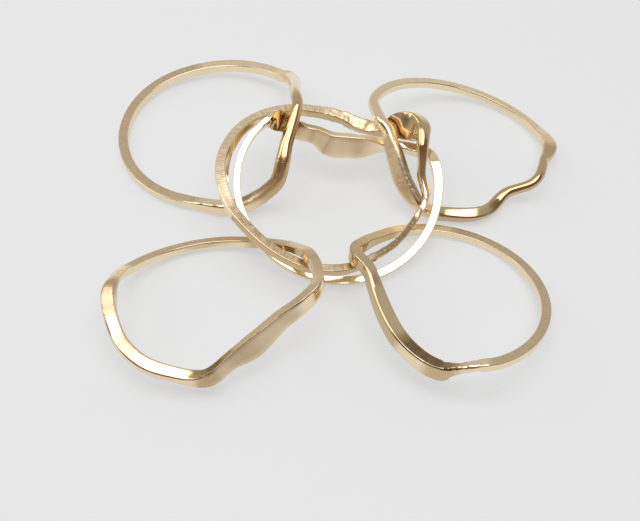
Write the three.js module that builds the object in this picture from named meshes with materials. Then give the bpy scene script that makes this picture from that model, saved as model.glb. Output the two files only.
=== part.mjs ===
// Puzzle ring of six linked bands, opened and lying on a table.
// Millimetres and degrees, +Z up. Each band is one bent gold wire: a plain round
// shank and a waved front. The four outer bands each pass through both middle bands.
import * as THREE from 'three';
import { ParametricGeometry } from 'three/addons/geometries/ParametricGeometry.js';
import { mergeVertices } from 'three/addons/utils/BufferGeometryUtils.js';

// Columns of the section tables, a row for each section round a band:
// angle about the ring's axis, radius to the middle of the wire, lift along the axis,
// width along the axis, thickness across it, roll of the section about the wire,
// and how round its corners are, from 0 for square to 1 for fully round
const COLUMNS = ['angle', 'radius', 'lift', 'width', 'thick', 'roll', 'round'];

// Placing of a band: its centre, how much its far side is raised and its right side dropped
const BANDS = [
  {
    name: 'upper_left_band',
    centre: { x: -10.5, y: 16.0, z: 1.3 },
    raise_far: 1,
    drop_right: -4,
    sections: [
      [2, 8.4, 4.95, 1.2, 1.2, 0, 0.9],
      [19, 8.65, 3.3, 1.2, 1.3, 0, 0.9],
      [35, 9.4, 1.6, 1.2, 1.35, 0, 0.8],
      [43, 9.8, 0.8, 1.1, 1.2, 0, 0.6],
      [49, 9.65, 0.5, 0.9, 1.0, 0, 0.2],
      [92, 9.7, 0.0, 0.9, 1.0, 0, 0.2],
      [140, 9.9, 0.0, 0.8, 1.0, 0, 0.2],
      [200, 9.6, 0.0, 0.75, 1.0, 0, 0.2],
      [252, 9.6, 0.0, 0.75, 1.0, 0, 0.2],
      [264, 9.7, -0.2, 1.1, 1.0, 0, 0.4],
      [274, 10.2, -0.2, 1.5, 1.1, 0, 0.5],
      [284, 10.5, -0.2, 1.6, 1.2, 0, 0.6],
      [293, 10.6, 0.2, 1.5, 1.3, 0, 0.7],
      [300, 10.9, 1.0, 1.4, 1.4, 0, 0.8],
      [306, 11.2, 2.1, 1.4, 1.4, 0, 0.8],
      [312, 10.75, 3.5, 1.3, 1.4, 0, 0.8],
      [319, 10.05, 4.4, 1.2, 1.3, 0, 0.95],
      [328, 9.55, 5.1, 1.1, 1.2, 0, 0.95],
      [337, 9.3, 5.7, 1.1, 1.1, 0, 0.95],
      [343, 9.15, 5.95, 1.1, 1.1, 0, 0.95],
      [350, 8.75, 5.8, 1.1, 1.1, 0, 0.95],
    ],
  },
  {
    name: 'upper_right_band',
    centre: { x: 14.2, y: 13.1, z: 3.95 },
    raise_far: -14,
    drop_right: 15,
    sections: [
      [1, 9.1, 0.05, 1.1, 1.3, 0, 0.6],
      [7, 9.3, 0.2, 1.0, 1.3, 0, 0.5],
      [15, 9.3, 0.2, 0.9, 1.15, 0, 0.4],
      [28, 9.35, 0.0, 0.7, 1.0, 0, 0.2],
      [85, 9.25, 0.0, 0.7, 1.0, 0, 0.2],
      [150, 9.4, 0.0, 0.75, 1.0, 0, 0.4],
      [168, 9.4, 0.0, 0.9, 1.1, 0, 0.7],
      [178, 9.0, 0.0, 1.0, 1.1, 0, 0.8],
      [188, 8.6, -0.1, 1.0, 1.1, 0, 0.8],
      [195, 8.0, -0.5, 1.1, 1.1, 0, 0.7],
      [203, 7.75, -1.4, 1.5, 1.0, -12, 0.7],
      [211, 7.6, -2.2, 1.75, 1.05, -15, 0.7],
      [229, 7.7, -4.0, 1.8, 1.05, -15, 0.7],
      [248, 7.7, -5.2, 1.2, 1.2, 8, 0.6],
      [266, 7.1, -5.2, 1.2, 1.2, 30, 0.5],
      [286, 7.4, -4.5, 1.2, 1.2, 35, 0.4],
      [298, 7.2, -4.1, 1.0, 1.2, 30, 0.5],
      [307, 6.9, -3.55, 1.0, 1.2, 20, 0.7],
      [314, 6.8, -3.0, 1.0, 1.1, 8, 0.9],
      [319, 7.05, -2.55, 1.0, 1.05, 0, 0.95],
      [323, 7.7, -1.95, 1.0, 1.0, 0, 0.95],
      [327, 8.3, -1.4, 1.0, 1.0, 0, 0.95],
      [333, 8.6, -0.75, 1.0, 1.0, 0, 0.95],
      [341, 8.5, -0.2, 0.95, 0.95, 0, 0.95],
      [349, 8.45, -0.05, 0.9, 0.9, 0, 0.9],
      [355, 8.75, -0.05, 1.0, 1.1, 0, 0.8],
    ],
  },
  {
    name: 'lower_right_band',
    centre: { x: 10.9, y: -6.2, z: 2.8 },
    raise_far: -12,
    drop_right: 6,
    sections: [
      [104, 9.5, 0.0, 0.7, 1.0, 0, 0.2],
      [128, 8.9, 0.5, 0.8, 1.0, 0, 0.2],
      [144, 8.6, 1.1, 1.1, 1.0, 0, 0.2],
      [160, 8.5, 1.5, 1.4, 1.0, 0, 0.3],
      [172, 6.9, 1.5, 1.3, 1.0, 0, 0.4],
      [188, 6.1, 0.6, 1.3, 1.2, 0, 0.35],
      [211, 6.0, -0.3, 1.4, 1.3, 0, 0.3],
      [238, 6.7, -1.2, 1.4, 1.35, 0, 0.3],
      [256, 7.5, -1.65, 1.5, 1.3, 0, 0.3],
      [263, 7.85, -1.7, 1.5, 1.25, 0, 0.3],
      [268, 8.15, -1.6, 1.5, 1.15, 0, 0.35],
      [272, 8.35, -1.2, 1.1, 1.0, 0, 0.6],
      [278, 8.75, -0.6, 0.8, 0.9, 0, 0.8],
      [284, 9.0, -0.2, 0.8, 0.9, 0, 0.7],
      [289, 9.2, -0.05, 0.8, 0.9, 0, 0.3],
      [297, 9.35, 0.0, 0.7, 0.9, 0, 0.2],
      [335, 9.4, 0.0, 0.7, 0.9, 0, 0.2],
    ],
  },
  {
    name: 'lower_left_band',
    centre: { x: -9.7, y: -7.1, z: 4.6 },
    raise_far: -24.5,
    drop_right: -4,
    sections: [
      [4, 9.6, 0.9, 1.1, 1.0, 0, 0.3],
      [16, 9.2, 1.6, 0.9, 1.0, 0, 0.2],
      [31, 9.1, 1.2, 0.7, 1.0, 0, 0.2],
      [62, 9.6, 0.2, 0.7, 1.0, 0, 0.2],
      [90, 9.5, 0.1, 0.75, 1.0, 0, 0.2],
      [145, 9.5, 0.0, 0.7, 1.0, 0, 0.2],
      [154, 9.2, 0.35, 0.9, 1.0, 0, 0.5],
      [163, 8.85, 0.7, 1.0, 1.05, 0, 0.8],
      [174, 8.65, 0.9, 1.0, 1.05, 0, 0.9],
      [180, 8.75, 0.8, 1.15, 1.2, 0, 0.7],
      [183, 8.85, 0.3, 1.3, 1.3, 0, 0.5],
      [188, 8.9, -0.55, 1.4, 1.3, 0, 0.4],
      [194, 8.8, -1.45, 1.4, 1.3, 5, 0.4],
      [201, 8.6, -2.4, 1.4, 1.3, 14, 0.35],
      [211, 8.25, -3.2, 1.4, 1.3, 26, 0.35],
      [227, 7.6, -4.1, 1.3, 1.3, 36, 0.35],
      [244, 6.5, -4.9, 1.2, 1.2, 40, 0.35],
      [258, 6.1, -5.3, 1.2, 1.1, 22, 0.3],
      [268, 5.85, -5.35, 1.4, 0.9, 0, 0.2],
      [289, 5.1, -4.5, 1.5, 0.8, -5, 0.25],
      [314, 5.45, -3.55, 2.1, 0.8, -5, 0.25],
      [337, 6.6, -2.1, 1.6, 1.0, -2, 0.25],
      [348, 8.5, -0.8, 1.4, 1.0, 0, 0.3],
      [355, 9.5, 0.1, 1.2, 1.0, 0, 0.3],
    ],
  },
  {
    name: 'brushed_middle_band',
    centre: { x: 0, y: 5.3, z: 4.6 },
    raise_far: 4,
    drop_right: 15,
    sections: [
      [5, 10.0, 1.5, 0.8, 0.7, 0, 0.5],
      [11, 9.7, 2.0, 0.8, 0.7, 0, 0.5],
      [17, 9.8, 2.8, 0.8, 0.8, 0, 0.5],
      [23, 10.0, 3.6, 1.1, 1.1, 0, 0.8],
      [28, 10.4, 3.9, 1.4, 1.3, 0, 0.8],
      [33, 10.8, 3.75, 2.0, 1.5, 20, 0.5],
      [38, 10.8, 3.2, 2.7, 1.5, 32, 0.2],
      [43, 10.6, 2.6, 2.6, 1.4, 32, 0.2],
      [47, 10.5, 1.9, 2.0, 1.3, 22, 0.2],
      [51, 10.3, 0.6, 1.1, 1.1, 0, 0.3],
      [58, 10.05, 0.0, 1.0, 1.3, -25, 0.3],
      [66, 9.6, -0.1, 1.0, 1.3, -28, 0.3],
      [76, 9.5, 0.0, 1.0, 1.1, -12, 0.3],
      [90, 9.4, 0.0, 0.85, 0.95, 0, 0.2],
      [120, 9.45, 0.0, 0.85, 1.0, 10, 0.2],
      [140, 9.5, 0.0, 0.9, 1.0, 28, 0.2],
      [160, 9.45, 0.0, 1.0, 1.05, 38, 0.2],
      [180, 9.45, 0.0, 1.0, 1.05, 34, 0.2],
      [205, 9.4, 0.0, 0.8, 0.95, 8, 0.2],
      [225, 9.2, 0.0, 0.8, 0.9, 0, 0.2],
      [265, 9.4, -0.2, 0.8, 0.8, 0, 0.2],
      [284, 9.4, 0.0, 0.8, 0.8, 0, 0.2],
      [304, 8.9, 0.0, 0.7, 0.65, 0, 0.4],
      [319, 9.0, 0.2, 0.6, 0.6, 0, 0.5],
      [342, 9.4, 0.5, 0.6, 0.6, 0, 0.5],
      [359, 10.2, 1.2, 0.8, 0.7, 0, 0.5],
    ],
  },
  {
    name: 'polished_middle_band',
    centre: { x: 1.8, y: 5.65, z: 4.5 },
    raise_far: 23.5,
    drop_right: 5,
    sections: [
      [14, 9.6, -0.1, 0.8, 0.9, 0, 0.2],
      [22, 9.5, -0.6, 0.9, 0.9, 0, 0.3],
      [29, 8.9, -1.7, 1.2, 0.9, 0, 0.3],
      [45, 7.2, -2.65, 1.4, 0.9, 0, 0.3],
      [62, 5.4, -2.2, 2.2, 0.9, 40, 0.3],
      [78, 4.9, -2.2, 2.4, 0.9, 40, 0.3],
      [97, 5.0, -2.3, 2.4, 0.9, 40, 0.3],
      [109, 6.4, -2.8, 1.7, 0.9, 40, 0.3],
      [117, 7.1, -2.8, 1.7, 0.8, 40, 0.3],
      [124, 7.9, -2.2, 1.9, 0.7, 55, 0.3],
      [129, 8.4, -1.1, 1.9, 0.6, 65, 0.3],
      [134, 8.8, -0.05, 2.0, 0.5, 55, 0.3],
      [139, 9.15, 0.25, 1.2, 0.55, 8, 0.2],
      [144, 9.3, 0.2, 0.8, 0.6, 0, 0.2],
      [152, 9.55, 0.0, 0.8, 0.62, 0, 0.2],
      [185, 9.68, 0.0, 0.8, 0.65, 0, 0.2],
      [230, 9.5, 0.0, 0.8, 0.75, 0, 0.2],
      [350, 9.5, 0.0, 0.8, 0.8, 0, 0.2],
    ],
  },
];

// How finely the meshes follow the tables
const LONG_SPAN = 40;
const SHANK_STEP = 6;
const FRONT_STEP = 3;
const CORNERS = 4;
const CORNER_POINTS = 3;
const SECTION_POINTS = CORNERS * CORNER_POINTS;
const FULL_TURN = 360;
const MERGE_TOLERANCE = 1e-5;

const gold = new THREE.MeshStandardMaterial({ color: 0xd8bd90, roughness: 0.3, metalness: 1.0 });

// Named values of a table's row
function readRow(row) {
  return Object.fromEntries(COLUMNS.map((column, index) => [column, row[index]]));
}

// Angles of the mesh's stations: coarse along a plain shank, fine along the waved front
function stationAngles(rows) {
  const angles = [];
  rows.forEach((row, index) => {
    const next = rows[(index + 1) % rows.length];
    const span = (next.angle - row.angle + FULL_TURN) % FULL_TURN;
    const steps = Math.ceil(span / (span > LONG_SPAN ? SHANK_STEP : FRONT_STEP));
    for (let step = 0; step < steps; step += 1) {
      angles.push(row.angle + (span * step) / steps);
    }
  });
  return angles;
}

// One column's value at an angle, on a smooth closed curve through the table's rows
function columnAt(rows, column, angle) {
  const count = rows.length;
  const turned = ((angle - rows[0].angle) % FULL_TURN + FULL_TURN) % FULL_TURN;
  const lap = (index) => Math.floor(index / count);
  const start = (index) => rows[index - count * lap(index)].angle + FULL_TURN * lap(index) - rows[0].angle;
  const value = (index) => rows[index - count * lap(index)][column];
  const slope = (index) => (value(index + 1) - value(index - 1)) / (start(index + 1) - start(index - 1));
  let row = 0;
  while (start(row + 1) <= turned) {
    row += 1;
  }
  const span = start(row + 1) - start(row);
  const part = (turned - start(row)) / span;
  const square = part * part;
  const cube = square * part;
  return (2 * cube - 3 * square + 1) * value(row) + (cube - 2 * square + part) * span * slope(row)
    + (3 * square - 2 * cube) * value(row + 1) + (cube - square) * span * slope(row + 1);
}

// Middle of the wire at an angle
function wirePoint(rows, angle) {
  const radius = columnAt(rows, 'radius', angle);
  const turn = THREE.MathUtils.degToRad(angle);
  return new THREE.Vector3(radius * Math.cos(turn), radius * Math.sin(turn), columnAt(rows, 'lift', angle));
}

// Outward and axial directions of the section at an angle, square to the wire and rolled about it
function sectionAxes(rows, angle) {
  const ahead = wirePoint(rows, angle + FRONT_STEP / 2);
  const along = ahead.sub(wirePoint(rows, angle - FRONT_STEP / 2)).normalize();
  const out = along.clone().cross(new THREE.Vector3(0, 0, 1)).normalize();
  const axial = out.clone().cross(along).normalize();
  const roll = THREE.MathUtils.degToRad(columnAt(rows, 'roll', angle));
  return { out: out.applyAxisAngle(along, roll), axial: axial.applyAxisAngle(along, roll) };
}

// Point of a rounded rectangle's outline, going once round it
function sectionPoint(index, width, thick, round) {
  const corner = Math.floor(index / CORNER_POINTS) % CORNERS;
  const turn = (corner + (index % CORNER_POINTS) / (CORNER_POINTS - 1)) * (Math.PI / 2);
  const middle = (corner + 0.5) * (Math.PI / 2);
  const radius = (round * Math.min(width, thick)) / 2;
  return {
    out: Math.sign(Math.cos(middle)) * (thick / 2 - radius) + radius * Math.cos(turn),
    axial: Math.sign(Math.sin(middle)) * (width / 2 - radius) + radius * Math.sin(turn),
  };
}

// Closed skin of one band, from its table of sections
function bandGeometry(rows) {
  const angles = stationAngles(rows);
  const skin = (along, around, target) => {
    const angle = angles[Math.round(along * angles.length) % angles.length];
    const axes = sectionAxes(rows, angle);
    const point = sectionPoint(
      Math.round(around * SECTION_POINTS) % SECTION_POINTS,
      columnAt(rows, 'width', angle),
      columnAt(rows, 'thick', angle),
      columnAt(rows, 'round', angle),
    );
    target.copy(wirePoint(rows, angle));
    target.addScaledVector(axes.out, point.out);
    target.addScaledVector(axes.axial, point.axial);
  };
  const geometry = new ParametricGeometry(skin, angles.length, SECTION_POINTS);
  geometry.deleteAttribute('normal');
  geometry.deleteAttribute('uv');
  const closed = mergeVertices(geometry, MERGE_TOLERANCE);
  closed.computeVertexNormals();
  return closed;
}

// One band as a named mesh in its place on the table
function makeBand(band) {
  const mesh = new THREE.Mesh(bandGeometry(band.sections.map(readRow)), gold);
  mesh.name = band.name;
  mesh.position.set(band.centre.x, band.centre.y, band.centre.z);
  mesh.rotation.set(THREE.MathUtils.degToRad(band.raise_far), THREE.MathUtils.degToRad(band.drop_right), 0);
  return mesh;
}

const bands = new THREE.Group();
bands.add(...BANDS.map(makeBand));

// The frame's origin is on the table, under the middle of the whole layout
const box = new THREE.Box3().setFromObject(bands, true);
const middle = box.getCenter(new THREE.Vector3());
bands.position.set(-middle.x, -middle.y, -box.min.z);

const puzzleRing = new THREE.Group();
puzzleRing.add(bands);

export default puzzleRing;
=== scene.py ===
# %% [markdown]
# # A puzzle ring, opened on a table
# A puzzle ring is a handful of thin finger rings that are linked for good. Each has a plain round
# shank and a waved front, and the waves nest into one woven knot when the ring is folded together.
# Here it lies open: four outer bands, each threaded through two middle bands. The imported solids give
# the real sizes, so they are loaded first and everything else is built around them, in metres.

import math

import bmesh
import bpy
import numpy as np
from mathutils import Matrix, Vector, noise


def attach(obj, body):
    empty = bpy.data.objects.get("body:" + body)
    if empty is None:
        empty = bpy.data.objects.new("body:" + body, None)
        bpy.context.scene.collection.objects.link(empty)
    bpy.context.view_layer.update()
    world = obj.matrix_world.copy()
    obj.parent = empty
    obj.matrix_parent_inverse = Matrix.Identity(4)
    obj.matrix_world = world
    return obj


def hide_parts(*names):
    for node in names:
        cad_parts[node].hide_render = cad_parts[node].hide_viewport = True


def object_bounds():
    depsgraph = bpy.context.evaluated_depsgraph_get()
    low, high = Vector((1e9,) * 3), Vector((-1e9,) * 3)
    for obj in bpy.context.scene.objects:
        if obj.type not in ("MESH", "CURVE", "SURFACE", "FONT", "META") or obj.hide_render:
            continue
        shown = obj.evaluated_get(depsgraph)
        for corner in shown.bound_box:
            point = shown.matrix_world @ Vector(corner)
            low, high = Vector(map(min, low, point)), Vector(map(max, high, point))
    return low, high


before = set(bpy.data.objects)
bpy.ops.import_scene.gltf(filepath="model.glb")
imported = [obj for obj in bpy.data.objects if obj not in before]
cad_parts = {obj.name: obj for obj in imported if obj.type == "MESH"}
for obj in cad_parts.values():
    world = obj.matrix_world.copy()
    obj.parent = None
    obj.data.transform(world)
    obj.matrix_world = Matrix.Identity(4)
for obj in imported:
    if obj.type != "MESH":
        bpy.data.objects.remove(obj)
solid_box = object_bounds()
MM = 0.001
print("solids:", sorted(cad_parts))
print("box in mm:", [[round(value / MM, 2) for value in corner] for corner in solid_box])

# %% [markdown]
# ## How a band is written down
# A goldsmith thinks of such a band as one wire with a section that changes on its way round: square
# and filed along the shank, round and polished in the wave, beaten flat where two strands must lie
# side by side. A list of mesh points would hide that. So each band is a short table with a row for
# each section, in millimetres and degrees: the angle about the ring's axis, the radius to the middle
# of the wire, the lift along the axis, the width along the axis, the thickness across it, the roll of
# the section about the wire, and how round its corners are.

# %% Columns of the section tables
COLUMNS = ("angle", "radius", "lift", "width", "thick", "roll", "round")
print("columns:", ", ".join(COLUMNS))

# %% [markdown]
# ## Upper left band
# The first outer band lies nearly flat. Its shank is a square wire with brushed side faces, and its right
# side climbs as a round, polished wave through the two middle bands. Blender's curves with a bevel could
# draw it, but a bevel keeps one shape of section all the way round, and here the shape has to change.
# Each entry also says where the band lies: its centre over the table, how far its far side is raised and
# its right side dropped, and which gold it is made of. Stretches with a finish or a painted shade of their
# own are named by the angles where they start and end. What each means is told where the masks are made.

# %% Upper left band
BANDS = {}
BANDS["upper_left"] = {
    "centre": (-10.5, 16.0, 1.3), "raise_far": 1, "drop_right": -4, "slot": "satin_gold",
    # Some stretches paint light into the colour: shade on side faces, a brown gold for the dim room
    # mirrored in walls and faces, and dark shade on faces and edges.
    "stretches": {"grainy": ((38, 52), (288, 312)), "painted_dim": ((104, 262),),
                  "brown_wall": ((296, 350),), "brown_inside": ((280, 304),), "painted_dark": ((284, 314),)},
    "sections": (
        (2, 8.4, 4.95, 1.2, 1.2, 0, 0.9),
        (19, 8.65, 3.3, 1.2, 1.3, 0, 0.9),
        (35, 9.4, 1.6, 1.2, 1.35, 0, 0.8),
        (43, 9.8, 0.8, 1.1, 1.2, 0, 0.6),
        (49, 9.65, 0.5, 0.9, 1.0, 0, 0.2),
        (92, 9.7, 0.0, 0.9, 1.0, 0, 0.2),
        (140, 9.9, 0.0, 0.8, 1.0, 0, 0.2),
        (200, 9.6, 0.0, 0.75, 1.0, 0, 0.2),
        (252, 9.6, 0.0, 0.75, 1.0, 0, 0.2),
        (264, 9.7, -0.2, 1.1, 1.0, 0, 0.4),
        (274, 10.2, -0.2, 1.5, 1.1, 0, 0.5),
        (284, 10.5, -0.2, 1.6, 1.2, 0, 0.6),
        (293, 10.6, 0.2, 1.5, 1.3, 0, 0.7),
        (300, 10.9, 1.0, 1.4, 1.4, 0, 0.8),
        (306, 11.2, 2.1, 1.4, 1.4, 0, 0.8),
        (312, 10.75, 3.5, 1.3, 1.4, 0, 0.8),
        (319, 10.05, 4.4, 1.2, 1.3, 0, 0.95),
        (328, 9.55, 5.1, 1.1, 1.2, 0, 0.95),
        (337, 9.3, 5.7, 1.1, 1.1, 0, 0.95),
        (343, 9.15, 5.95, 1.1, 1.1, 0, 0.95),
        (350, 8.75, 5.8, 1.1, 1.1, 0, 0.95),
    ),
}
print("upper left band:", len(BANDS["upper_left"]["sections"]), "sections")

# %% [markdown]
# ## Upper right band
# This band leans on the middle ones, and its near side hangs down in a deep wave. The wire is rolled
# about itself there, so that an edge points up. Modelling the wave on its own and joining it to a shank
# would leave two seams, so the rows simply stand closer together where the wave bends most.

# %% Upper right band
BANDS["upper_right"] = {
    "centre": (14.2, 13.1, 3.95), "raise_far": -14, "drop_right": 15, "slot": "satin_gold",
    "stretches": {"grainy": ((1, 16), (198, 242)),
                  "brown_wall": ((256, 366),), "brown_inside": ((196, 246),),
                  "painted_dark": ((206, 246),), "dark_edge": ((210, 246),)},
    "sections": (
        (1, 9.1, 0.05, 1.1, 1.3, 0, 0.6),
        (7, 9.3, 0.2, 1.0, 1.3, 0, 0.5),
        (15, 9.3, 0.2, 0.9, 1.15, 0, 0.4),
        (28, 9.35, 0.0, 0.7, 1.0, 0, 0.2),
        (85, 9.25, 0.0, 0.7, 1.0, 0, 0.2),
        (150, 9.4, 0.0, 0.75, 1.0, 0, 0.4),
        (168, 9.4, 0.0, 0.9, 1.1, 0, 0.7),
        (178, 9.0, 0.0, 1.0, 1.1, 0, 0.8),
        (188, 8.6, -0.1, 1.0, 1.1, 0, 0.8),
        (195, 8.0, -0.5, 1.1, 1.1, 0, 0.7),
        (203, 7.75, -1.4, 1.5, 1.0, -12, 0.7),
        (211, 7.6, -2.2, 1.75, 1.05, -15, 0.7),
        (229, 7.7, -4.0, 1.8, 1.05, -15, 0.7),
        (248, 7.7, -5.2, 1.2, 1.2, 8, 0.6),
        (266, 7.1, -5.2, 1.2, 1.2, 30, 0.5),
        (286, 7.4, -4.5, 1.2, 1.2, 35, 0.4),
        (298, 7.2, -4.1, 1.0, 1.2, 30, 0.5),
        (307, 6.9, -3.55, 1.0, 1.2, 20, 0.7),
        (314, 6.8, -3.0, 1.0, 1.1, 8, 0.9),
        (319, 7.05, -2.55, 1.0, 1.05, 0, 0.95),
        (323, 7.7, -1.95, 1.0, 1.0, 0, 0.95),
        (327, 8.3, -1.4, 1.0, 1.0, 0, 0.95),
        (333, 8.6, -0.75, 1.0, 1.0, 0, 0.95),
        (341, 8.5, -0.2, 0.95, 0.95, 0, 0.95),
        (349, 8.45, -0.05, 0.9, 0.9, 0, 0.9),
        (355, 8.75, -0.05, 1.0, 1.1, 0, 0.8),
    ),
}
print("upper right band:", len(BANDS["upper_right"]["sections"]), "sections")

# %% [markdown]
# ## Lower right band
# Its shank is a thin square wire. On the left a thicker strand runs down to a V-shaped tip at the near
# side, where a small hammered stretch leads back to the shank. The tip is sharp because its rows are only
# a few degrees apart. Far apart, they would round it off.

# %% Lower right band
BANDS["lower_right"] = {
    "centre": (10.9, -6.2, 2.8), "raise_far": -12, "drop_right": 6, "slot": "satin_gold",
    "stretches": {"hammered": ((268, 292),), "painted_dim": ((116, 276), (292, 440)),
                  "smooth": ((165, 276),), "brown_wall": ((116, 236), (258, 276)),
                  "brown_face": ((232, 278),), "painted_dark": ((238, 278),), "dark_edge": ((230, 276),)},
    "sections": (
        (104, 9.5, 0.0, 0.7, 1.0, 0, 0.2),
        (128, 8.9, 0.5, 0.8, 1.0, 0, 0.2),
        (144, 8.6, 1.1, 1.1, 1.0, 0, 0.2),
        (160, 8.5, 1.5, 1.4, 1.0, 0, 0.3),
        (172, 6.9, 1.5, 1.3, 1.0, 0, 0.4),
        (188, 6.1, 0.6, 1.3, 1.2, 0, 0.35),
        (211, 6.0, -0.3, 1.4, 1.3, 0, 0.3),
        (238, 6.7, -1.2, 1.4, 1.35, 0, 0.3),
        (256, 7.5, -1.65, 1.5, 1.3, 0, 0.3),
        (263, 7.85, -1.7, 1.5, 1.25, 0, 0.3),
        (268, 8.15, -1.6, 1.5, 1.15, 0, 0.35),
        (272, 8.35, -1.2, 1.1, 1.0, 0, 0.6),
        (278, 8.75, -0.6, 0.8, 0.9, 0, 0.8),
        (284, 9.0, -0.2, 0.8, 0.9, 0, 0.7),
        (289, 9.2, -0.05, 0.8, 0.9, 0, 0.3),
        (297, 9.35, 0.0, 0.7, 0.9, 0, 0.2),
        (335, 9.4, 0.0, 0.7, 0.9, 0, 0.2),
    ),
}
print("lower right band:", len(BANDS["lower_right"]["sections"]), "sections")

# %% [markdown]
# ## Lower left band
# The left stretch is thick, polished and rolled half over, and from the tip at the near side a broad flat
# pad runs back up to the right. The pad could be a plate of its own, but on the real band it is the same
# wire, beaten wide. So the width and the thickness of its rows make it.

# %% Lower left band
BANDS["lower_left"] = {
    "centre": (-9.7, -7.1, 4.6), "raise_far": -24.5, "drop_right": -4, "slot": "satin_gold",
    "stretches": {"hammered": ((252, 268),), "grainy": ((176, 192), (256, 268)),
                  "painted_dim": ((40, 150), (270, 374)), "satin": ((272, 345),),
                  "brown_wall": ((10, 72), (172, 182), (258, 274)), "brown_face": ((253, 296),),
                  "painted_dark": ((254, 284),), "dark_edge": ((256, 356),)},
    "sections": (
        (4, 9.6, 0.9, 1.1, 1.0, 0, 0.3),
        (16, 9.2, 1.6, 0.9, 1.0, 0, 0.2),
        (31, 9.1, 1.2, 0.7, 1.0, 0, 0.2),
        (62, 9.6, 0.2, 0.7, 1.0, 0, 0.2),
        (90, 9.5, 0.1, 0.75, 1.0, 0, 0.2),
        (145, 9.5, 0.0, 0.7, 1.0, 0, 0.2),
        (154, 9.2, 0.35, 0.9, 1.0, 0, 0.5),
        (163, 8.85, 0.7, 1.0, 1.05, 0, 0.8),
        (174, 8.65, 0.9, 1.0, 1.05, 0, 0.9),
        (180, 8.75, 0.8, 1.15, 1.2, 0, 0.7),
        (183, 8.85, 0.3, 1.3, 1.3, 0, 0.5),
        (188, 8.9, -0.55, 1.4, 1.3, 0, 0.4),
        (194, 8.8, -1.45, 1.4, 1.3, 5, 0.4),
        (201, 8.6, -2.4, 1.4, 1.3, 14, 0.35),
        (211, 8.25, -3.2, 1.4, 1.3, 26, 0.35),
        (227, 7.6, -4.1, 1.3, 1.3, 36, 0.35),
        (244, 6.5, -4.9, 1.2, 1.2, 40, 0.35),
        (258, 6.1, -5.3, 1.2, 1.1, 22, 0.3),
        (268, 5.85, -5.35, 1.4, 0.9, 0, 0.2),
        (289, 5.1, -4.5, 1.5, 0.8, -5, 0.25),
        (314, 5.45, -3.55, 2.1, 0.8, -5, 0.25),
        (337, 6.6, -2.1, 1.6, 1.0, -2, 0.25),
        (348, 8.5, -0.8, 1.4, 1.0, 0, 0.3),
        (355, 9.5, 0.1, 1.2, 1.0, 0, 0.3),
    ),
}
print("lower left band:", len(BANDS["lower_left"]["sections"]), "sections")

# %% [markdown]
# ## Brushed middle band
# The two middle bands lie one on the other and carry the four outer ones. This one has a brushed side
# face, a beaten upper strand and a thick knob. The knob is a short stretch with a large, rolled section,
# and needs no piece of its own.

# %% Brushed middle band
BANDS["brushed_middle"] = {
    "centre": (0.0, 5.3, 4.6), "raise_far": 4, "drop_right": 15, "slot": "brushed_gold",
    "stretches": {"hammered": ((52, 88), (300, 360)), "painted_dim": ((205, 292),),
                  "brown_wall": ((20, 100), (215, 346)), "painted_dark": ((306, 348),)},
    "sections": (
        (5, 10.0, 1.5, 0.8, 0.7, 0, 0.5),
        (11, 9.7, 2.0, 0.8, 0.7, 0, 0.5),
        (17, 9.8, 2.8, 0.8, 0.8, 0, 0.5),
        (23, 10.0, 3.6, 1.1, 1.1, 0, 0.8),
        (28, 10.4, 3.9, 1.4, 1.3, 0, 0.8),
        (33, 10.8, 3.75, 2.0, 1.5, 20, 0.5),
        (38, 10.8, 3.2, 2.7, 1.5, 32, 0.2),
        (43, 10.6, 2.6, 2.6, 1.4, 32, 0.2),
        (47, 10.5, 1.9, 2.0, 1.3, 22, 0.2),
        (51, 10.3, 0.6, 1.1, 1.1, 0, 0.3),
        (58, 10.05, 0.0, 1.0, 1.3, -25, 0.3),
        (66, 9.6, -0.1, 1.0, 1.3, -28, 0.3),
        (76, 9.5, 0.0, 1.0, 1.1, -12, 0.3),
        (90, 9.4, 0.0, 0.85, 0.95, 0, 0.2),
        (120, 9.45, 0.0, 0.85, 1.0, 10, 0.2),
        (140, 9.5, 0.0, 0.9, 1.0, 28, 0.2),
        (160, 9.45, 0.0, 1.0, 1.05, 38, 0.2),
        (180, 9.45, 0.0, 1.0, 1.05, 34, 0.2),
        (205, 9.4, 0.0, 0.8, 0.95, 8, 0.2),
        (225, 9.2, 0.0, 0.8, 0.9, 0, 0.2),
        (265, 9.4, -0.2, 0.8, 0.8, 0, 0.2),
        (284, 9.4, 0.0, 0.8, 0.8, 0, 0.2),
        (304, 8.9, 0.0, 0.7, 0.65, 0, 0.4),
        (319, 9.0, 0.2, 0.6, 0.6, 0, 0.5),
        (342, 9.4, 0.5, 0.6, 0.6, 0, 0.5),
        (359, 10.2, 1.2, 0.8, 0.7, 0, 0.5),
    ),
}
print("brushed middle band:", len(BANDS["brushed_middle"]["sections"]), "sections")

# %% [markdown]
# ## Polished middle band
# The other middle band has a mirror side face. Its far strand was rolled up on edge and beaten into a
# broad pad, which is what the roll column is for: the same flat section, turned about the wire, shows its
# face to the front.

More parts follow.
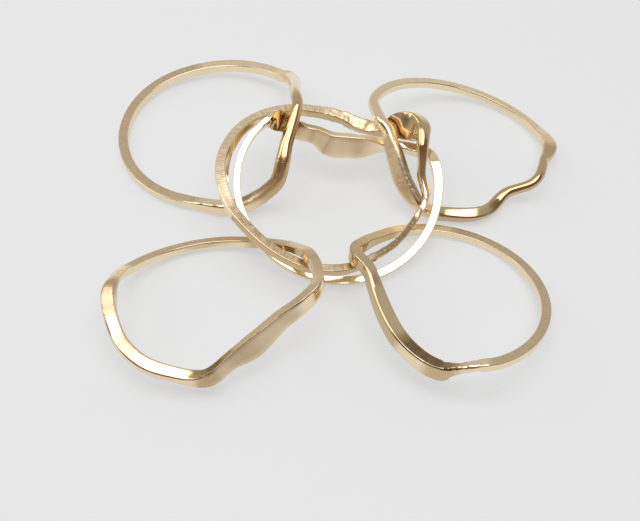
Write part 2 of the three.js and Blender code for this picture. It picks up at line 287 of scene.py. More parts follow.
# %% Polished middle band
BANDS["polished_middle"] = {
    "centre": (1.8, 5.65, 4.5), "raise_far": 23.5, "drop_right": 5, "slot": "polished_gold",
    "stretches": {"satin": ((50, 120),), "brown_wall": ((119, 140),)},
    "sections": (
        (14, 9.6, -0.1, 0.8, 0.9, 0, 0.2),
        (22, 9.5, -0.6, 0.9, 0.9, 0, 0.3),
        (29, 8.9, -1.7, 1.2, 0.9, 0, 0.3),
        (45, 7.2, -2.65, 1.4, 0.9, 0, 0.3),
        (62, 5.4, -2.2, 2.2, 0.9, 40, 0.3),
        (78, 4.9, -2.2, 2.4, 0.9, 40, 0.3),
        (97, 5.0, -2.3, 2.4, 0.9, 40, 0.3),
        (109, 6.4, -2.8, 1.7, 0.9, 40, 0.3),
        (117, 7.1, -2.8, 1.7, 0.8, 40, 0.3),
        (124, 7.9, -2.2, 1.9, 0.7, 55, 0.3),
        (129, 8.4, -1.1, 1.9, 0.6, 65, 0.3),
        (134, 8.8, -0.05, 2.0, 0.5, 55, 0.3),
        (139, 9.15, 0.25, 1.2, 0.55, 8, 0.2),
        (144, 9.3, 0.2, 0.8, 0.6, 0, 0.2),
        (152, 9.55, 0.0, 0.8, 0.62, 0, 0.2),
        (185, 9.68, 0.0, 0.8, 0.65, 0, 0.2),
        (230, 9.5, 0.0, 0.8, 0.75, 0, 0.2),
        (350, 9.5, 0.0, 0.8, 0.8, 0, 0.2),
    ),
}
print("polished middle band:", len(BANDS["polished_middle"]["sections"]), "sections")

# %% [markdown]
# ## Start from a plain wire ring
# Every band is a closed ring before it is anything else, and spinning a small wire section once
# round the axis gives exactly that, with no seam to sew up: use_merge joins the last step to the first.
# A torus primitive would do too, but the spin lets the section have its own count of points, grouped
# so that each corner and each flat of a square wire gets its share.

# %% Spin a plain wire ring
STATIONS = 480
CORNERS = 4
CORNER_POINTS = 5
FLAT_POINTS = 3
SIDE_POINTS = CORNER_POINTS + FLAT_POINTS
SECTION_POINTS = CORNERS * SIDE_POINTS
PLAIN_RADIUS = 10.0
PLAIN_WIRE = 0.5
SAME_POINT = PLAIN_WIRE / 100


def plain_wire_ring():
    ring = bmesh.new()
    upright = Matrix.Translation((PLAIN_RADIUS, 0, 0)) @ Matrix.Rotation(math.pi / 2, 4, "X")
    bmesh.ops.create_circle(ring, segments=SECTION_POINTS, radius=PLAIN_WIRE, matrix=upright)
    bmesh.ops.spin(ring, geom=ring.verts[:] + ring.edges[:], cent=(0, 0, 0), axis=(0, 0, 1),
                   angle=math.tau, steps=STATIONS, use_merge=True)
    bmesh.ops.remove_doubles(ring, verts=ring.verts[:], dist=SAME_POINT)
    bmesh.ops.recalc_face_normals(ring, faces=ring.faces[:])
    return ring


plain_ring = plain_wire_ring()
print("plain ring:", len(plain_ring.verts), "points,", len(plain_ring.faces), "faces")

# %% [markdown]
# ## Read a smooth value from a table
# Between two rows the wire has to bend smoothly, as real wire does. A curve through all the rows
# (each row's slope comes from its two neighbours) keeps the path and the section free of kinks, and
# it closes on itself because the last row's neighbour is the first.

# %% A smooth closed curve through the rows
def column_at(sections, column, angles):
    rows = np.array(sections, float)
    start, value = rows[:, 0], rows[:, COLUMNS.index(column)]
    start = np.concatenate([start[-2:] - 360, start, start[:2] + 360])
    value = np.concatenate([value[-2:], value, value[:2]])
    slope = (value[2:] - value[:-2]) / (start[2:] - start[:-2])
    start, value = start[1:-1], value[1:-1]
    turned = (np.asarray(angles) - rows[0, 0]) % 360 + rows[0, 0]
    row = np.clip(np.searchsorted(start, turned, side="right") - 1, 0, len(start) - 2)
    span = start[row + 1] - start[row]
    part = (turned - start[row]) / span
    ahead = 3 * part**2 - 2 * part**3
    leaving = part**3 - 2 * part**2 + part
    arriving = part**3 - part**2
    return (value[row] + ahead * (value[row + 1] - value[row])
            + span * (leaving * slope[row] + arriving * slope[row + 1]))


widest = column_at(BANDS["lower_left"]["sections"], "width", np.arange(360))
print("lower left band is widest, in mm:", round(float(widest.max()), 2))
print("at, in degrees:", int(widest.argmax()))

# %% [markdown]
# ## Bend the plain ring along the table
# The plain ring's own angle says which section a point belongs to, and its place round the little
# circle says which corner or flat it sits on. So the bend needs no new points: it looks both up and
# moves the point. An armature or a lattice could bend the ring as well, but neither gives a section
# that turns from square to round on the way.

# %% Place round the section
def section_offsets(place, width, thick, roundness):
    corner = place // SIDE_POINTS
    step = place % SIDE_POINTS
    on_arc = step < CORNER_POINTS
    middle = (corner + 0.5) * math.pi / 2
    turn = (corner + np.minimum(step / (CORNER_POINTS - 1), 1)) * math.pi / 2
    along_flat = np.where(on_arc, 0, (step - CORNER_POINTS + 1) / (FLAT_POINTS + 1))
    corner_radius = roundness * np.minimum(width, thick) / 2
    out = np.sign(np.cos(middle)) * (thick / 2 - corner_radius) + corner_radius * np.cos(turn)
    axial = np.sign(np.sin(middle)) * (width / 2 - corner_radius) + corner_radius * np.sin(turn)
    runs_in = np.array([-1, 0, 1, 0])[corner]
    runs_up = np.array([0, -1, 0, 1])[corner]
    return (out + along_flat * runs_in * (thick - 2 * corner_radius),
            axial + along_flat * runs_up * (width - 2 * corner_radius))


square_wire = section_offsets(np.arange(SECTION_POINTS), np.ones(1), np.ones(1), np.zeros(1))
print("a sharp 1 mm wire reaches, in mm:", [float(part.max()) for part in square_wire])

# %% [markdown]
# ## The wire's path
# A section has to stand square across the wire, as it does on drawn wire, also where the wave climbs
# steeply. So each station needs the direction along the wire, found from two nearby points of the
# path, and two directions across it. The roll then turns those two about the wire.

# %% Middle of the wire and the directions across it
REACH = 1.5


def wire_points(sections, angles):
    radius, turn = column_at(sections, "radius", angles), np.radians(angles)
    lift = column_at(sections, "lift", angles)
    return np.stack([radius * np.cos(turn), radius * np.sin(turn), lift], -1)


def wire_directions(sections, angles):
    along = wire_points(sections, angles + REACH) - wire_points(sections, angles - REACH)
    along /= np.linalg.norm(along, axis=1, keepdims=True)
    out = np.cross(along, (0, 0, 1))
    out /= np.linalg.norm(out, axis=1, keepdims=True)
    axial = np.cross(out, along)
    roll = np.radians(column_at(sections, "roll", angles))[:, None]
    return (np.cos(roll) * out + np.sin(roll) * np.cross(along, out),
            np.cos(roll) * axial + np.sin(roll) * np.cross(along, axial))


first_middle = wire_points(BANDS["upper_left"]["sections"], np.zeros(1))
print("upper left wire at 0 degrees, in mm:", np.round(first_middle, 2).tolist())

# %% [markdown]
# ## Bend one band
# With the path and the section in hand, the bend is one sum for each point: the middle of the wire,
# plus the section's two offsets along the two directions. It also gives back each point's angle and
# place, because the finishes need them later.

# %% Bend one band
def bend(ring, sections):
    flat = np.array([vert.co for vert in ring.verts])
    angles = np.degrees(np.arctan2(flat[:, 1], flat[:, 0]))
    angles = np.round(angles * STATIONS / 360) * 360 / STATIONS % 360
    around = np.arctan2(flat[:, 2], np.hypot(flat[:, 0], flat[:, 1]) - PLAIN_RADIUS)
    place = np.round(around * SECTION_POINTS / math.tau).astype(int) % SECTION_POINTS
    width, thick, roundness = (column_at(sections, name, angles) for name in ("width", "thick", "round"))
    offset_out, offset_axial = section_offsets(place, width, thick, roundness)
    out, axial = wire_directions(sections, angles)
    bent = wire_points(sections, angles) + offset_out[:, None] * out + offset_axial[:, None] * axial
    return bent, angles, place


trial, trial_angles, trial_place = bend(plain_ring, BANDS["upper_left"]["sections"])
print("upper left band, bent, in mm:", np.round(trial.max(0) - trial.min(0), 2).tolist())

# %% [markdown]
# ## Parts of a section
# A finish seldom covers the whole wire. A file touches the two side faces, a painted brown goes on the
# top and inside of a band, and a painted shade along its upper outer edge. A point's place round its
# section tells which of these it belongs to, so three small tests are enough, and nothing has to be
# selected by hand.

# %% Side faces, top and inside, and upper outer edge
def side_face(place):
    corner, step = place // SIDE_POINTS, place % SIDE_POINTS
    return ((corner % 2 == 0) & (step >= CORNER_POINTS - 1)) | ((corner % 2 == 1) & (step == 0))


def top_and_inside(place):
    return (place >= CORNER_POINTS) & (place < 2 * SIDE_POINTS + CORNER_POINTS)


def upper_outer_edge(place):
    return (place > 0) & (place < CORNER_POINTS - 1)


for part in (side_face, top_and_inside, upper_outer_edge):
    print(part.__name__, "has", int(part(np.arange(SECTION_POINTS)).sum()), "of", SECTION_POINTS, "points")

# %% [markdown]
# ## Stretches with soft ends
# No finish stops at a line. Each stretch therefore fades over a few degrees at both ends, with the
# smooth S-shaped curve that Blender's own Map Range node offers too.

# %% Fade in and out along the wire
SOFT_END = 4


def fade(low, high, value):
    part = np.clip((value - low) / (high - low), 0, 1)
    return part * part * (3 - 2 * part)


def stretch_mask(stretches, angles):
    mask = np.zeros(len(angles))
    for start, end in stretches:
        middle, half = (start + end) / 2, (end - start) / 2
        away = np.abs((angles - middle + 180) % 360 - 180)
        mask = np.maximum(mask, 1 - fade(half - SOFT_END, half + SOFT_END, away))
    return mask


print("fade at a quarter of its way:", round(float(fade(0, 1, 0.25)), 3))

# %% [markdown]
# ## Finish and painted shade masks
# Which finish a spot has follows from how the band was worked. The square shank was filed, so its side
# faces are brushed, except where they are named smooth. The round wave was polished. Some stretches
# were hammered, still show the grain of the casting, or were rubbed to a satin. Shade and the dim side
# of the room are painted into the colour as well: a painted shade on some flat side faces, a brown gold
# as a painted reflection of the dim room on several walls and faces, and a painted dark shade on some
# faces and upper outer edges. Several walls and faces are brown in the picture: a film of tarnish, or a
# dark room mirrored in them. One picture can't tell which, so a deeper gold stands for both, and a dark
# shade for the burnt faces and dark edges. The masks that a material reads become named attributes on
# the mesh, so one material serves a whole band.

# %% Masks from the section and from the named stretches
STRETCH_KINDS = ("hammered", "grainy", "painted_dim", "satin", "smooth", "brown_wall", "brown_face",
                    "brown_inside", "painted_dark", "dark_edge")
SHADER_MASKS = ("brushed", "grainy", "painted_dim", "satin", "painted_brown", "painted_dark")
SQUARE_UP_TO, ROUND_FROM = 0.3, 0.6
DARK_EDGE = 1.4


def finish_and_shade_masks(band, angles, place):
    square = 1 - fade(SQUARE_UP_TO, ROUND_FROM, column_at(band["sections"], "round", angles))
    masks = {name: stretch_mask(band["stretches"].get(name, ()), angles) for name in STRETCH_KINDS}
    flat_side = square * side_face(place)
    masks["brushed"] = flat_side * (1 - masks["smooth"])
    # Painted shade: some flat side faces are darkened and browned.
    masks["painted_dim"] *= flat_side
    # Painted shade along the upper outer edge, which weakens its highlight.
    edge = DARK_EDGE * masks["dark_edge"] * upper_outer_edge(place)
    # Painted dark shade on the side faces of named stretches, joined with the edge shade.
    masks["painted_dark"] = np.maximum(masks["painted_dark"] * side_face(place), edge)
    # Painted reflection of the dim room: a brown gold on walls, on faces, and on the top and inside.
    brown = masks["brown_wall"] * (1 - flat_side) + masks["brown_face"] * flat_side
    masks["painted_brown"] = np.maximum(brown, masks["brown_inside"] * top_and_inside(place))
    return masks


trial_masks = finish_and_shade_masks(BANDS["upper_left"], trial_angles, trial_place)
for name in SHADER_MASKS:
    print("upper left band,", name, "share:", round(float(trial_masks[name].mean()), 2))

# %% [markdown]
# ## Dents and marks in the metal itself
# Hammer marks and cast lumps are large enough to catch the light by their shape, so they are moved
# into the mesh. A noise field gives their heights. Anything shallower than about a fiftieth of a
# millimetre is left to the bump of the material.

# %% Push dents into a bent band
HAMMER_SIZE, HAMMER_DEPTH = 0.4, 0.06
GRAIN_SIZE, GRAIN_DEPTH = 0.3, 0.035


def push_dents(ring, masks):
    depths = masks["hammered"] * HAMMER_DEPTH, masks["grainy"] * GRAIN_DEPTH
    ring.normal_update()
    for vert, hammer, grain in zip(ring.verts, *depths):
        if hammer + grain > 0:
            dent = hammer * noise.noise(vert.co / HAMMER_SIZE)
            lump = grain * noise.noise(vert.co / GRAIN_SIZE)
            vert.co += vert.normal * (dent + lump)


print("dents and lumps reach, in mm:", HAMMER_DEPTH, "and", GRAIN_DEPTH)

# %% [markdown]
# ## Lay a band on the table
# The bands of the opened ring don't lie flat: each leans on the ones it is threaded through. Two turns
# and a move say how. They are applied to the mesh itself, so every piece stays at the origin with no
# rotation or scale of its own, which keeps its Object coordinates in metres.

# %% Lay a bent band as it lies on the table
def lay(ring, band):
    raised = Matrix.Rotation(math.radians(band["raise_far"]), 4, "X")
    dropped = Matrix.Rotation(math.radians(band["drop_right"]), 4, "Y")
    laid = Matrix.Scale(MM, 4) @ Matrix.Translation(band["centre"]) @ (raised @ dropped)
    bmesh.ops.transform(ring, matrix=laid, verts=ring.verts[:])


for name, band in BANDS.items():
    print(name, "raised and dropped by, in degrees:", band["raise_far"], band["drop_right"])

# %% [markdown]
# ## A map along the wire
# File marks cross the wire wherever it bends, and Object coordinates don't turn with it. So a UV map
# unrolls the wire, in millimetres along it and around it. Unwrapping with a seam would do, but here each
# point's angle and place already are the map. Only the faces that close the ring need care: the far
# corners of those are moved on by one whole turn.

# %% Unroll the wire into a UV map
CORNERS_OF_A_FACE = 4
WIRE_GIRTH = 3.4


def unroll(mesh, angles, place):
    along = np.radians(angles) * PLAIN_RADIUS
    around = place * WIRE_GIRTH / SECTION_POINTS
    corner_points = np.zeros(len(mesh.loops), int)
    mesh.loops.foreach_get("vertex_index", corner_points)
    uv = np.stack([along, around], -1)[corner_points].reshape(-1, CORNERS_OF_A_FACE, 2)
    whole = np.array([math.tau * PLAIN_RADIUS, WIRE_GIRTH])
    uv += whole * (uv.max(1, keepdims=True) - uv > whole / 2)
    mesh.uv_layers.new(name="wire").data.foreach_set("uv", uv.ravel())


print("the map in mm, along and around:", round(math.tau * PLAIN_RADIUS, 1), WIRE_GIRTH)

# %% [markdown]
# ## One band from start to end
# The steps so far are put in order: bend a copy of the plain ring, press the dents in, lay the band
# down, and turn it into a smooth mesh with its map and masks. It also hides the imported solid it stands
# for. The six bands differ only in their tables, so one function makes them all.

# %% Build one band
def make_band(name, band):
    ring = plain_ring.copy()
    bent, angles, place = bend(ring, band["sections"])
    for vert, spot in zip(ring.verts, bent):
        vert.co = spot
    masks = finish_and_shade_masks(band, angles, place)
    push_dents(ring, masks)
    lay(ring, band)
    bmesh.ops.recalc_face_normals(ring, faces=ring.faces[:])
    mesh = bpy.data.meshes.new(name + "_ring")
    ring.to_mesh(mesh)
    ring.free()
    mesh.polygons.foreach_set("use_smooth", [True] * len(mesh.polygons))
    unroll(mesh, angles, place)
    for name_of_mask in SHADER_MASKS:
        attribute = mesh.attributes.new(name_of_mask, "FLOAT", "POINT")
        attribute.data.foreach_set("value", masks[name_of_mask].astype(np.float32))
    piece = bpy.data.objects.new(name + "_ring", mesh)
    bpy.context.scene.collection.objects.link(piece)
    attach(piece, "root")
    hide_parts(name + "_band")
    return piece


# %% [markdown]
# ## All six, moved onto the solids
# The tables place the bands by the middle of the weave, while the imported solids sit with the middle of
# their box over the origin. One common shift, found from the two boxes, brings all six together onto
# the solids and leaves the way they are threaded as it is.

# %% Make all six and move them together onto the solids
def common_box(meshes):
    spots = np.array([vert.co for mesh in meshes for vert in mesh.vertices])
    return Vector(spots.min(0)), Vector(spots.max(0))


pieces = {name: make_band(name, band) for name, band in BANDS.items()}
low, high = common_box([piece.data for piece in pieces.values()])
shift = (solid_box[0] + solid_box[1] - low - high) / 2
for name, piece in pieces.items():
    piece.data.transform(Matrix.Translation(shift))
    size = [round(side / MM, 2) for side in piece.dimensions]
    print(name, "faces", len(piece.data.polygons), "size mm", size)
print("moved by, in mm:", [round(value / MM, 3) for value in shift])

# %% [markdown]
# ## Shared effects as node groups
# The three golds differ in polish, not in metal. So what they share is built once, as shader node
# groups: the uneven tone of the alloy with its painted shade, the marks of a file across the wire, and the
# grain of a casting.
# Each group only gives out colours, masks and heights. The shader itself stays in the material.

# %% Helpers for node groups
def new_group(name, inputs, outputs):
    group = bpy.data.node_groups.new(name, "ShaderNodeTree")
    for direction, sockets in (("INPUT", inputs), ("OUTPUT", outputs)):
        for label, kind in sockets:
            group.interface.new_socket(name=label, in_out=direction, socket_type="NodeSocket" + kind)
    return group, group.nodes.new("NodeGroupInput"), group.nodes.new("NodeGroupOutput")


def add_node(tree, kind, settings=(), **values):
    node = tree.nodes.new("ShaderNode" + kind)
    for name, value in settings:
        setattr(node, name, value)
    for name, value in values.items():
        node.inputs[name.replace("_", " ")].default_value = value
    return node


def math_node(tree, operation, first, second):
    node = add_node(tree, "Math", [("operation", operation)])
    for socket, source in zip(node.inputs, (first, second)):
        if isinstance(source, (int, float)):
            socket.default_value = source
        else:
            tree.links.new(source, socket)
    return node.outputs[0]


# %% [markdown]
# ## Tone of the alloy, with painted shade
# Old gold is never one flat colour. A soft noise mixes a brighter and a deeper gold in patches. A brown
# gold is mixed in as a painted reflection of the dim room, and the file marks and painted shade take some
# light away at the end. Mixing colours before the shader keeps the metal a metal.

# %% Uneven tone of the alloy, with painted shade
TONE_INPUTS = (("Place", "Vector"), ("Bright Gold", "Color"), ("Deep Gold", "Color"), ("Old Gold", "Color"),
               ("Patches", "Float"), ("Marks And Painted Shade", "Float"), ("Painted Brown", "Float"))
PATCH_NOISE = {"Detail": 4.0, "Roughness": 0.6}


def build_tone_group():
    group, given, result = new_group("alloy_tone_and_painted_shade", TONE_INPUTS, [("Tone", "Color")])
    patches = add_node(group, "TexNoise", **PATCH_NOISE)
    mix = add_node(group, "Mix", [("data_type", "RGBA")])
    # Painted reflection of the dim room: a brown gold mixed in.
    brown = add_node(group, "Mix", [("data_type", "RGBA")])
    # File marks and painted shade take light away.
    dim = add_node(group, "VectorMath", [("operation", "SCALE")])
    links = group.links
    links.new(given.outputs["Place"], patches.inputs["Vector"])
    links.new(given.outputs["Patches"], patches.inputs["Scale"])
    links.new(patches.outputs["Fac"], mix.inputs["Factor"])
    links.new(given.outputs["Bright Gold"], mix.inputs["A"])
    links.new(given.outputs["Deep Gold"], mix.inputs["B"])
    links.new(mix.outputs["Result"], brown.inputs["A"])
    links.new(given.outputs["Old Gold"], brown.inputs["B"])
    links.new(given.outputs["Painted Brown"], brown.inputs["Factor"])
    links.new(brown.outputs["Result"], dim.inputs[0])
    links.new(math_node(group, "SUBTRACT", 1.0, given.outputs["Marks And Painted Shade"]), dim.inputs["Scale"])
    links.new(dim.outputs["Vector"], result.inputs["Tone"])
    return group


tone_group = build_tone_group()
print(tone_group.name, "has", len(tone_group.nodes), "nodes")

# %% [markdown]
# ## Marks of the file
# A file leaves short fine lines. A noise that is drawn out across the unrolled wire gives them, and a
# second, even noise gives the scuffs between. One group hands out both, so the roughness, the shade
# and the bump of a face come from the same marks.

# %% Marks of the file
FILE_INPUTS = (("Wire Place", "Vector"), ("Marks Along", "Float"), ("Marks Across", "Float"))
MARK_NOISE = {"Scale": 1.0, "Detail": 3.0, "Roughness": 0.7}
SCUFF_NOISE = {"Scale": 2.2, "Detail": 5.0, "Roughness": 0.75}


def build_file_group():
    group, given, result = new_group("file_marks", FILE_INPUTS, [("Height", "Float"), ("Scuffs", "Float")])
    stretch = add_node(group, "CombineXYZ")
    scaled = add_node(group, "VectorMath", [("operation", "MULTIPLY")])
    marks = add_node(group, "TexNoise", **MARK_NOISE)
    scuffs = add_node(group, "TexNoise", **SCUFF_NOISE)
    links = group.links
    links.new(given.outputs["Marks Along"], stretch.inputs["X"])
    links.new(given.outputs["Marks Across"], stretch.inputs["Y"])
    links.new(given.outputs["Wire Place"], scaled.inputs[0])
    links.new(stretch.outputs["Vector"], scaled.inputs[1])
    links.new(scaled.outputs["Vector"], marks.inputs["Vector"])
    links.new(given.outputs["Wire Place"], scuffs.inputs["Vector"])
    links.new(marks.outputs["Fac"], result.inputs["Height"])
    links.new(scuffs.outputs["Fac"], result.inputs["Scuffs"])
    return group


file_group = build_file_group()
print(file_group.name, "has", len(file_group.nodes), "nodes")

# %% [markdown]
# ## Grain of the casting
# Metal that was cast and never filed is pebbled. Voronoi cells look much like that: their distance
# rises from the middle of each grain to its rim. The larger lumps are in the mesh already.

# %% Grain of the casting
GRAIN_CELLS = {"Detail": 1.0}


def build_grain_group():
    group, given, result = new_group(
        "cast_grain", [("Place", "Vector"), ("Grains", "Float")], [("Height", "Float")])
    cells = add_node(group, "TexVoronoi", **GRAIN_CELLS)
    links = group.links
    links.new(given.outputs["Place"], cells.inputs["Vector"])
    links.new(given.outputs["Grains"], cells.inputs["Scale"])
    links.new(cells.outputs["Distance"], result.inputs["Height"])
    return group


grain_group = build_grain_group()
print(grain_group.name, "has", len(grain_group.nodes), "nodes")

# %% [markdown]
# ## The three golds
# Pale yellow gold reflects red a little better than green and much better than blue, which is all
# that makes it gold: with Metallic at 1 the base colour is the colour of the reflection. Polish is
# roughness. The masks blend a mirror with a filed face inside each material.

# %% Values of the three finishes
PALE_GOLD, DEEP_GOLD = (0.96, 0.82, 0.6, 1), (0.9, 0.73, 0.48, 1)
GOLDS = {
    "satin_gold": {"bright": PALE_GOLD, "deep": DEEP_GOLD,
                   "polished": 0.12, "filed": 0.36, "mark_depth": 0.6, "streaks": 0.5},
    "brushed_gold": {"bright": PALE_GOLD, "deep": DEEP_GOLD,
                     "polished": 0.12, "filed": 0.4, "mark_depth": 1.0, "streaks": 1.8},
    "polished_gold": {"bright": (0.96, 0.83, 0.62, 1), "deep": (0.94, 0.79, 0.55, 1),
                      "polished": 0.09, "filed": 0.12, "mark_depth": 0.1, "streaks": 0.1},
}
for slot, finish in GOLDS.items():
    print(slot, "roughness, polished and filed:", finish["polished"], finish["filed"])

# %% [markdown]
# ## Small helpers for the golds
# A material reads the masks, multiplies them with noises and amounts, and adds the results up. Three
# helpers keep that readable: one places a node group, one multiplies and one adds.

# %% Place a group, multiply and add
def group_node(tree, group, **values):
    node = tree.nodes.new("ShaderNodeGroup")
    node.node_tree = group
    for name, value in values.items():
        node.inputs[name.replace("_", " ")].default_value = value
    return node


def product(tree, first, *others):
    for other in others:
        first = math_node(tree, "MULTIPLY", first, other)
    return first


def total(tree, first, *others):
    for other in others:
        first = math_node(tree, "ADD", first, other)
    return first


# %% [markdown]
# ## Colour of a gold
# Painted shade on some flat side faces, the streaks of the file and painted dark spots take light away,
# and a brown gold mixed in paints the reflection of the dim room. Each is a mask times an amount, so each
# can be made stronger or weaker with one number.

# %% Colour
PATCHES_PER_METRE = 700.0
# A brown gold for the painted reflection of the dim room, and the amounts of painted shade.
SHADE_GOLD = (0.58, 0.41, 0.21, 1)
PAINTED_BROWN = 0.8
DIM_FACE_SHADE, DIM_FACE_BROWN = 0.15, 0.3
PAINTED_DARK_SHADE = 0.8
NOISE_MIDDLE = 0.5


def gold_colour(tree, finish, masks, place, marks):
    tone = group_node(tree, tone_group, Bright_Gold=finish["bright"], Deep_Gold=finish["deep"],
                      Old_Gold=SHADE_GOLD, Patches=PATCHES_PER_METRE)
    streaks = math_node(tree, "SUBTRACT", marks["Height"], NOISE_MIDDLE)
    # Painted shade on side faces and painted dark spots. The streaks are the file's own marks.
    dimmed_faces = product(tree, masks["painted_dim"], DIM_FACE_SHADE)
    streaked = product(tree, streaks, finish["streaks"], masks["brushed"])
    painted_dark_spots = product(tree, masks["painted_dark"], marks["Scuffs"], PAINTED_DARK_SHADE)
    # Painted reflection of the dim room, as a brown gold mixed in.
    dim_face_brown = product(tree, masks["painted_dim"], DIM_FACE_BROWN)
    brown = product(tree, masks["painted_brown"], PAINTED_BROWN)
    tree.links.new(place, tone.inputs["Place"])
    tree.links.new(total(tree, dimmed_faces, streaked, painted_dark_spots), tone.inputs["Marks And Painted Shade"])
    tree.links.new(total(tree, dim_face_brown, brown), tone.inputs["Painted Brown"])
    return tone.outputs["Tone"]


# %% [markdown]
# ## Roughness of a gold
# A polished spot mirrors sharply and a filed or cast one doesn't. The roughness starts at the gold's
# own polish, and the masks raise it: unevenly on filed faces, by the scuffs, and evenly elsewhere.

# %% Roughness
ROUGH_GRAIN = 0.3
SATIN_MATT = 0.3


def gold_roughness(tree, finish, masks, marks):
    uneven = math_node(tree, "ADD", marks["Scuffs"], NOISE_MIDDLE)
    filed = product(tree, masks["brushed"], finish["filed"] - finish["polished"], uneven)
    grainy = product(tree, masks["grainy"], ROUGH_GRAIN)
    matted = product(tree, masks["satin"], SATIN_MATT)
    return total(tree, filed, grainy, matted, finish["polished"])


# %% [markdown]
# ## Bump of a gold
# The finest marks are only about a hundredth of a millimetre deep. Modelling them would take millions
# of faces, and a bump tilts the reflection just as well.

# %% Bump
GRAINS_PER_METRE = 5500.0
MARK_DEPTH = 0.000006
GRAIN_BUMP = 2.5


def gold_bump(tree, finish, masks, place, marks):
    grain = group_node(tree, grain_group, Grains=GRAINS_PER_METRE)
    tree.links.new(place, grain.inputs["Place"])
    mark_height = product(tree, masks["brushed"], marks["Height"], finish["mark_depth"])
    grain_height = product(tree, masks["grainy"], grain.outputs["Height"], GRAIN_BUMP)
    bump = add_node(tree, "Bump", Distance=MARK_DEPTH, Strength=1.0)
    tree.links.new(total(tree, mark_height, grain_height), bump.inputs["Height"])
    return bump.outputs["Normal"]


# %% [markdown]
# ## Put a gold together
# One shader takes the three results. The golds share every step, and only their values differ.

# %% One gold
MARKS_ALONG, MARKS_ACROSS = 5.0, 2.2


def read_mask(tree, name):
    return add_node(tree, "Attribute", [("attribute_name", name)]).outputs["Fac"]


def make_gold(slot, finish):
    material = bpy.data.materials.new(slot)
    material.use_nodes = True
    tree = material.node_tree
    shader = tree.nodes["Principled BSDF"]
    shader.inputs["Metallic"].default_value = 1.0
    place = add_node(tree, "TexCoord").outputs["Object"]
    unrolled = add_node(tree, "UVMap", [("uv_map", "wire")]).outputs["UV"]
    file_marks = group_node(tree, file_group, Marks_Along=MARKS_ALONG, Marks_Across=MARKS_ACROSS)
    tree.links.new(unrolled, file_marks.inputs["Wire Place"])
    marks = file_marks.outputs
    masks = {name: read_mask(tree, name) for name in SHADER_MASKS}
    colour = gold_colour(tree, finish, masks, place, marks)
    tree.links.new(colour, shader.inputs["Base Color"])
    tree.links.new(gold_roughness(tree, finish, masks, marks), shader.inputs["Roughness"])
    tree.links.new(gold_bump(tree, finish, masks, place, marks), shader.inputs["Normal"])
    return material


# %% [markdown]
# ## Give every band its gold
# The four outer bands have one satin gold in common, and each middle band has a gold of its own. A
# whole band is one material, because the masks already tell its faces apart.

# %% Give every band its gold
golds = {slot: make_gold(slot, finish) for slot, finish in GOLDS.items()}
for name, piece in pieces.items():
    piece.data.materials.append(golds[BANDS[name]["slot"]])
    print(name, "is", BANDS[name]["slot"])

# %% [markdown]
# ## The table
# Jewellery is photographed on a plain pale sheet, almost white, with faint shadows. A white sheet would
# show these shadows too dark here, so it is a matte grey one with a faint glow of its own, which keeps
# them pale and gives the bands something bright to mirror from below.

# %% Pale sheet
SHEET_SIZE = 3.0
SHEET_GREY = (0.34, 0.345, 0.355, 1)
SHEET_TINT = (0.98, 1.0, 1.02, 1)
SHEET_GLOW = 0.5


def make_sheet():
    sheet = bmesh.new()
    bmesh.ops.create_grid(sheet, x_segments=1, y_segments=1, size=SHEET_SIZE / 2)
    mesh = bpy.data.meshes.new("pale_sheet")
    sheet.to_mesh(mesh)
    sheet.free()
    material = bpy.data.materials.new("pale_sheet")
    material.use_nodes = True
    shader = material.node_tree.nodes["Principled BSDF"]
    shader.inputs["Base Color"].default_value = SHEET_GREY
    shader.inputs["Roughness"].default_value = 1.0
    shader.inputs["Specular IOR Level"].default_value = 0.0
    shader.inputs["Emission Color"].default_value = SHEET_TINT
    shader.inputs["Emission Strength"].default_value = SHEET_GLOW
    mesh.materials.append(material)
    piece = bpy.data.objects.new("pale_sheet", mesh)
    bpy.context.scene.collection.objects.link(piece)
    return piece


print("sheet side in mm:", round(make_sheet().dimensions.x / MM))

# %% [markdown]
# ## Light
# Polished metal shows its surroundings more than its own colour, so the surroundings are part of the
# finish. A broad soft box overhead gives the white streaks, and a small one at the left a second row of
# them. A bright room behind gives the calm tan of the flat faces, and the dimmer side that the picture is
# taken from gives the brown ones.

# %% Two soft boxes
BOX_DISTANCE = 0.4
SOFT_BOXES = {
    "overhead_box": {"towards": (0.0, -0.1, 0.98), "across": 0.4, "deep": 0.28, "watts": 0.9},
    "left_box": {"towards": (-0.75, 0.1, 0.65), "across": 0.2, "deep": 0.2, "watts": 0.22},
}


def make_soft_box(name, towards, across, deep, watts):
    direction = Vector(towards).normalized()
    light = bpy.data.lights.new(name, "AREA")
    light.shape = "RECTANGLE"
    light.size = across
    light.size_y = deep
    light.energy = watts
    lamp = bpy.data.objects.new(name, light)
    lamp.location = direction * BOX_DISTANCE
    lamp.rotation_euler = direction.to_track_quat("Z", "Y").to_euler()
    bpy.context.scene.collection.objects.link(lamp)
    return lamp


for name, box in SOFT_BOXES.items():
    print(name, "at", [round(value, 3) for value in make_soft_box(name, **box).location])

# %% [markdown]
# ## The room
# A world colour alone would make every face of the gold equally bright. A real room isn't even, so the
# world fades from a bright side to a dim brown one, by the angle to one direction. A painted panorama
# would mirror more, but it would need a picture file.

# %% The room around
ROOM_BRIGHT = (0.58, 0.56, 0.53, 1)
ROOM_DIM = (0.2, 0.14, 0.09, 1)
DIM_DIRECTION = Vector((0.0, -0.9, 0.43)).normalized()
DIM_FROM, DIM_FULL = -0.1, 0.5


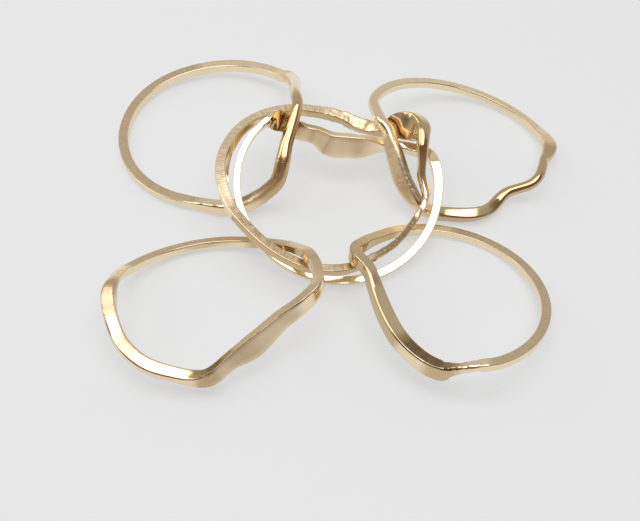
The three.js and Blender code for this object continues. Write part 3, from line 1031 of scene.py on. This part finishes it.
def make_room():
    world = bpy.data.worlds.new("room")
    world.use_nodes = True
    tree = world.node_tree
    links = tree.links
    direction = add_node(tree, "TexCoord").outputs["Generated"]
    facing = add_node(tree, "VectorMath", [("operation", "DOT_PRODUCT")])
    facing.inputs[1].default_value = DIM_DIRECTION
    links.new(direction, facing.inputs[0])
    dimming = add_node(tree, "MapRange", [("interpolation_type", "SMOOTHSTEP")])
    dimming.inputs["From Min"].default_value = DIM_FROM
    dimming.inputs["From Max"].default_value = DIM_FULL
    links.new(facing.outputs["Value"], dimming.inputs["Value"])
    mix = add_node(tree, "Mix", [("data_type", "RGBA")])
    mix.inputs["A"].default_value = ROOM_BRIGHT
    mix.inputs["B"].default_value = ROOM_DIM
    links.new(dimming.outputs["Result"], mix.inputs["Factor"])
    links.new(mix.outputs["Result"], tree.nodes["Background"].inputs["Color"])
    bpy.context.scene.world = world
    return world


print("world:", make_room().name)

# %% [markdown]
# ## Camera
# The picture looks down at the table from about half way up, square on to the ring, through a lens a
# little longer than usual. The lens and the distance are named values, and the target is the tables'
# own origin, moved with the bands, so the framing can be read off and changed.

# %% Camera
ELEVATION = math.radians(51)
DISTANCE = 112 * MM
NEAREST = DISTANCE / 10
SENSOR = 36.0
IMAGE_WIDTH = 640
FOCAL_PIXELS = 1181


def make_camera():
    data = bpy.data.cameras.new("camera")
    data.sensor_fit = "HORIZONTAL"
    data.sensor_width = SENSOR
    data.lens = FOCAL_PIXELS * SENSOR / IMAGE_WIDTH
    data.clip_start = NEAREST
    camera = bpy.data.objects.new("camera", data)
    back = Vector((0, -math.cos(ELEVATION), math.sin(ELEVATION)))
    camera.location = shift + back * DISTANCE
    camera.rotation_euler = back.to_track_quat("Z", "Y").to_euler()
    bpy.context.scene.collection.objects.link(camera)
    bpy.context.scene.camera = camera
    return camera


print("camera lens in mm:", round(make_camera().data.lens, 1))

# %% [markdown]
# ## Plain colours
# Blender can bend the colours of a render as film does, which greys a white sheet. The picture is a
# bright, plain one, so the standard view is used, where a value of 1 is white.

# %% Plain colours, with no film curve
bpy.context.scene.view_settings.view_transform = "Standard"
print("view:", bpy.context.scene.view_settings.view_transform)
